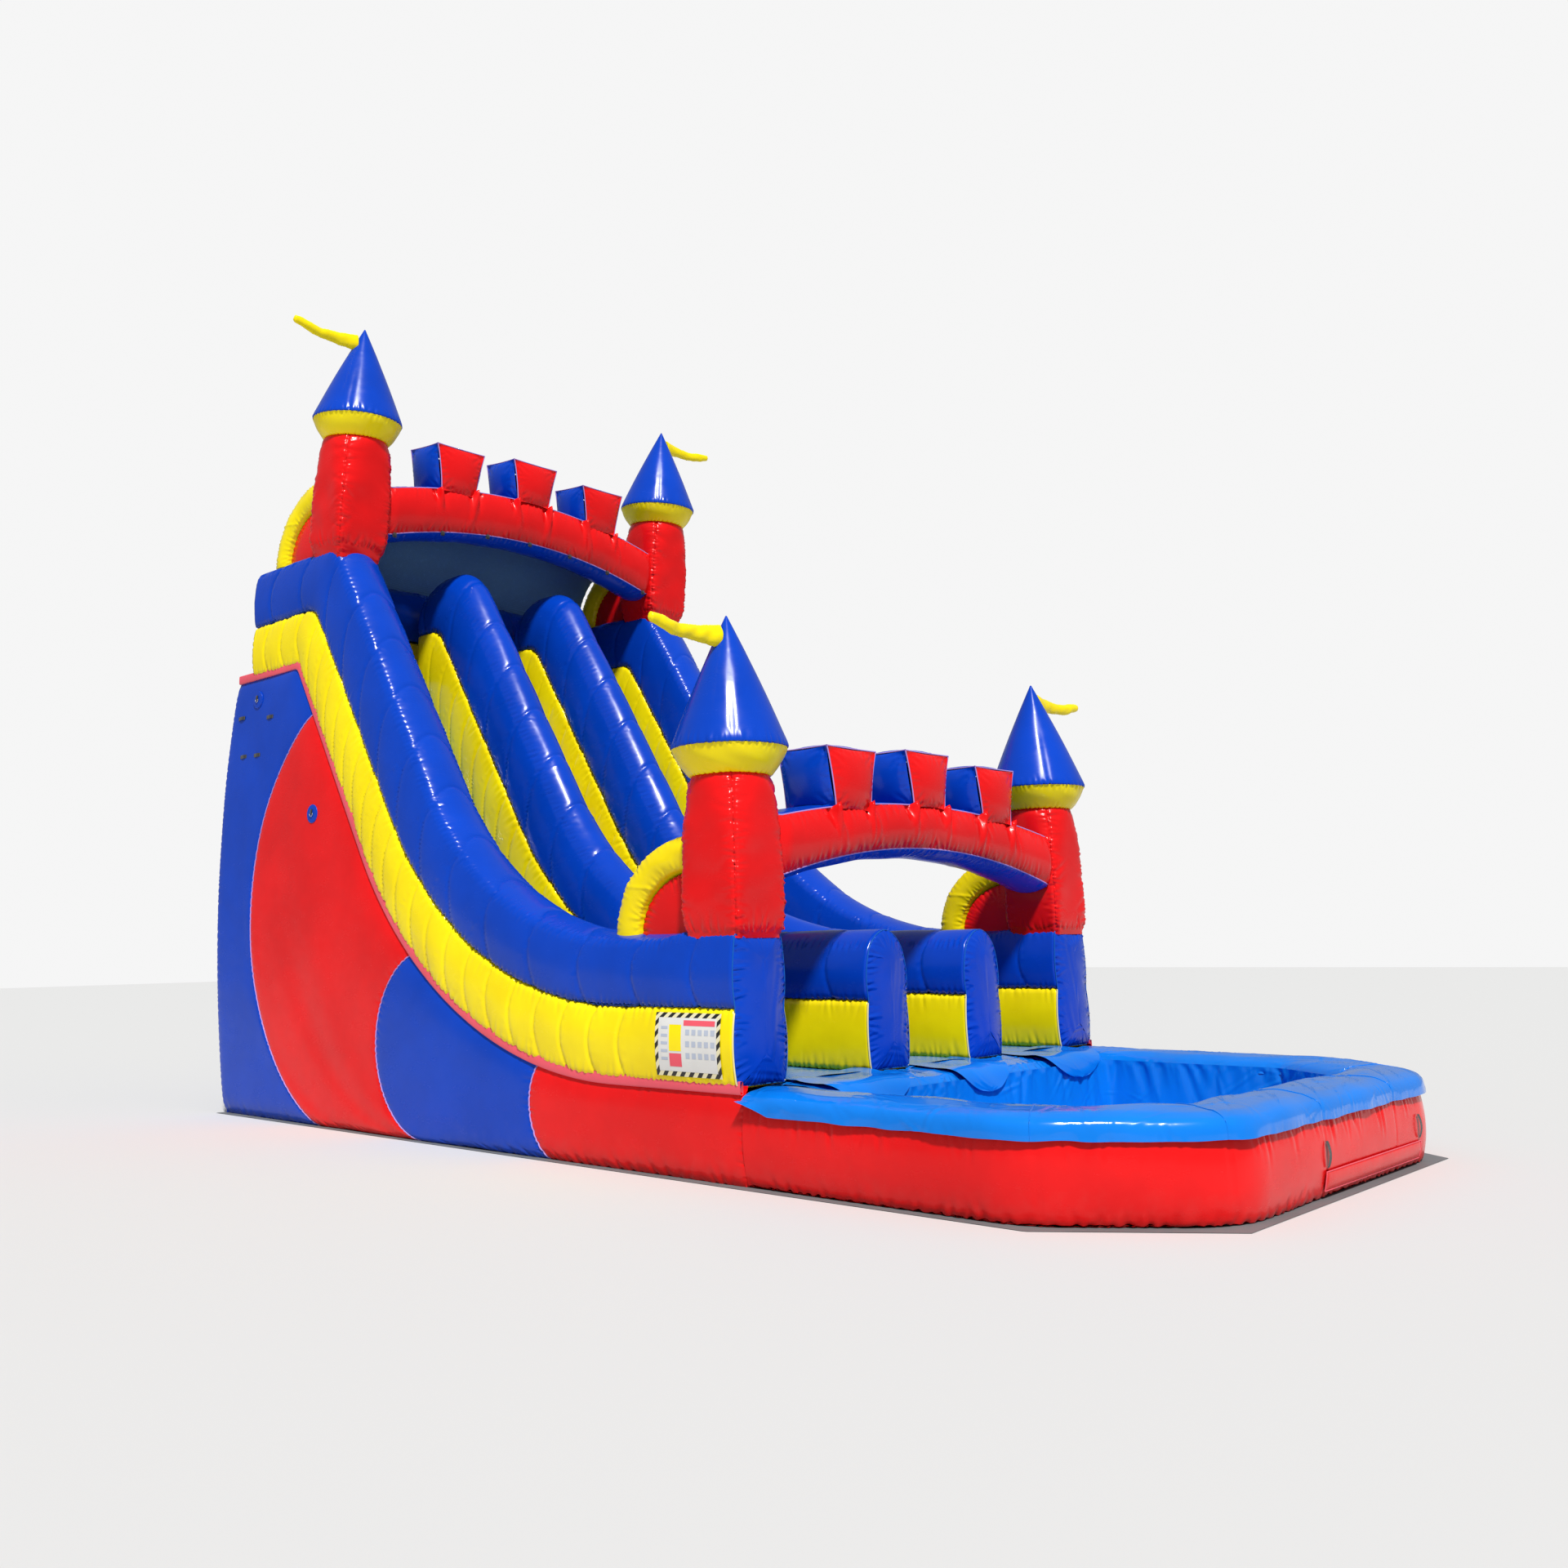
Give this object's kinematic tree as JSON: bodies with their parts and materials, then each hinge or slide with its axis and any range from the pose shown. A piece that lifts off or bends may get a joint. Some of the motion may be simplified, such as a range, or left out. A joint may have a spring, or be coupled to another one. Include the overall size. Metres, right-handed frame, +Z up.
{
  "type": "inflatable water slide",
  "caption": "Castle-themed inflatable water slide: parallel lanes between air-filled rails run from a towered platform under an arch into a splash pool.",
  "frame": {"origin": "on the ground, in the middle of the whole object's box", "axes": "+Z up, +X to the right seen from the pool, +Y from the splash pool towards the tall rear end"},
  "size_m": [5.65, 9.94, 7.4318],
  "materials": {
    "red_vinyl": "gloss",
    "blue_vinyl": "gloss",
    "yellow_vinyl": "gloss",
    "azure_vinyl": "gloss",
    "grey_vinyl": "satin",
    "deck_vinyl": "satin",
    "white_baffle": "satin",
    "mesh_net": "matte",
    "black_webbing": "matte",
    "label_vinyl": "satin",
    "patch_vinyl": "gloss",
    "ring_steel": "satin",
    "zip_tape": "matte",
    "zip_metal": "satin",
    "flap_vinyl": "gloss"
  },
  "bodies": {
    "inflatable": {"buttress_tubes": "yellow_vinyl", "buttress_webs": "red_vinyl", "climb_handles": "black_webbing", "climb_lane": "azure_vinyl", "climb_steps": "azure_vinyl", "divider_end_caps": "blue_vinyl", "divider_tube_left": "blue_vinyl", "divider_tube_right": "blue_vinyl", "divider_wall_left": "yellow_vinyl", "divider_wall_right": "yellow_vinyl", "drain_pocket": "red_vinyl", "front_arch": "red_vinyl", "front_base_panel": "red_vinyl", "ground_sheet": "grey_vinyl", "hose_tabs": "black_webbing", "inlet_sleeves": "grey_vinyl", "internal_baffles": "white_baffle", "label_panel": "label_vinyl", "lane_flaps": "azure_vinyl", "merlons": "red_vinyl", "platform_deck": "deck_vinyl", "pool_cover": "azure_vinyl", "pool_liner": "azure_vinyl", "pool_wall": "red_vinyl", "rail_end_caps": "blue_vinyl", "rail_tube_left": "blue_vinyl", "rail_tube_right": "blue_vinyl", "rail_wall_left": "yellow_vinyl", "rail_wall_right": "yellow_vinyl", "rear_arch": "red_vinyl", "rear_net": "mesh_net", "rear_panel": "blue_vinyl", "rear_wall_lower": "yellow_vinyl", "rear_wall_tube": "blue_vinyl", "ring_patches": "patch_vinyl", "side_panel_left": "red_vinyl", "side_panel_right": "red_vinyl", "side_webbing": "black_webbing", "slide_lane_left": "azure_vinyl", "slide_lane_right": "azure_vinyl", "tower_body_front_left": "red_vinyl", "tower_body_front_right": "red_vinyl", "tower_body_rear_left": "red_vinyl", "tower_body_rear_right": "red_vinyl", "tower_cone_front_left": "blue_vinyl", "tower_cone_front_right": "blue_vinyl", "tower_cone_rear_left": "blue_vinyl", "tower_cone_rear_right": "blue_vinyl", "tower_cuff_front_left": "yellow_vinyl", "tower_cuff_front_right": "yellow_vinyl", "tower_cuff_rear_left": "yellow_vinyl", "tower_cuff_rear_right": "yellow_vinyl", "tower_flags": "yellow_vinyl", "zip_tape": "zip_tape"},
    "guy_ring_upper_left": {"guy_ring_upper_left": "ring_steel"},
    "guy_ring_lower_left": {"guy_ring_lower_left": "ring_steel"},
    "guy_ring_upper_right": {"guy_ring_upper_right": "ring_steel"},
    "guy_ring_lower_right": {"guy_ring_lower_right": "ring_steel"},
    "zip_slider": {"zip_slider": "zip_metal"},
    "zip_flap": {"zip_flap": "flap_vinyl"}
  },
  "joints": [
    {"name": "guy_ring_upper_left_swing", "type": "hinge", "parent": "inflatable", "child": "guy_ring_upper_left", "pos_m": [-2.312, 4.12, 3.94], "axis": [0, 1, 0], "range_deg": [0, 150]},
    {"name": "guy_ring_lower_left_swing", "type": "hinge", "parent": "inflatable", "child": "guy_ring_lower_left", "pos_m": [-2.312, 3.07, 2.74], "axis": [0, 1, 0], "range_deg": [0, 150]},
    {"name": "guy_ring_upper_right_swing", "type": "hinge", "parent": "inflatable", "child": "guy_ring_upper_right", "pos_m": [2.312, 4.12, 3.94], "axis": [0, -1, 0], "range_deg": [0, 150]},
    {"name": "guy_ring_lower_right_swing", "type": "hinge", "parent": "inflatable", "child": "guy_ring_lower_right", "pos_m": [2.312, 3.07, 2.74], "axis": [0, -1, 0], "range_deg": [0, 150]},
    {"name": "zip_slider_travel", "type": "slide", "parent": "inflatable", "child": "zip_slider", "axis": [0, -1, 0], "range_m": [0, 0.53]},
    {"name": "zip_flap_lift", "type": "hinge", "parent": "inflatable", "child": "zip_flap", "pos_m": [2.316, 2.62, 0.468], "axis": [0, -1, 0], "range_deg": [0, 150]}
  ]
}
